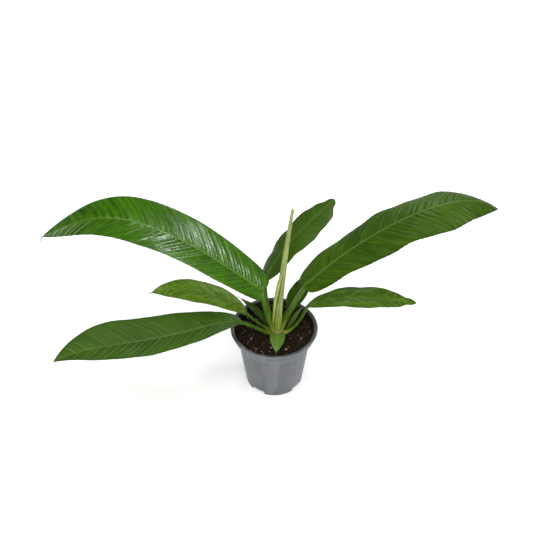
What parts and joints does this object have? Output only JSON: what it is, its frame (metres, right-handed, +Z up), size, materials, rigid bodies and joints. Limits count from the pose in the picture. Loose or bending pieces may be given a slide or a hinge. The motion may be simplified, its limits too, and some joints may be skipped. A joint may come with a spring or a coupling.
{
  "type": "potted philodendron",
  "caption": "Bird's-nest philodendron with long quilted arching leaves on short stalks and a pale rolled new leaf, rooted in potting mix in a tapered grey nursery pot.",
  "frame": {"origin": "middle of the underside of the whole plant's box, at the level that the pot stands on", "axes": "+Z up, +X along the spread of the leaves to the plant's right, the plant's front towards -Y"},
  "size_m": [0.621, 0.223, 0.2982],
  "materials": {
    "leaf": "glossy deep green leaf blade, quilted between the side veins",
    "young_leaf": "satin brighter green leaf blade, faintly mottled",
    "stalk": "satin green leaf stalk with a shallow channel on top",
    "new_growth": "matte pale yellow-green rolled leaf and sheath",
    "stem": "rough olive-brown stem with leaf scars",
    "potting_mix": "moist dark brown fibrous potting mix with pale chips",
    "pot_plastic": "satin mid grey injection-moulded plastic"
  },
  "bodies": {
    "root": {"pot": "pot_plastic", "potting_soil": "potting_mix", "stem": "stem", "rolled_new_leaf": "new_growth", "spear_sheath": "new_growth", "leaf_left_large": "leaf", "stalk_left_large": "stalk", "leaf_right_large": "leaf", "stalk_right_large": "stalk", "leaf_left_lower": "leaf", "stalk_left_lower": "stalk", "leaf_left_small": "young_leaf", "stalk_left_small": "stalk", "leaf_right_small": "young_leaf", "stalk_right_small": "stalk", "leaf_back": "leaf", "stalk_back": "stalk", "leaf_right_inner": "young_leaf", "stalk_right_inner": "stalk", "leaf_left_inner": "young_leaf", "leaf_right_narrow": "young_leaf", "leaf_front": "young_leaf"}
  },
  "joints": []
}
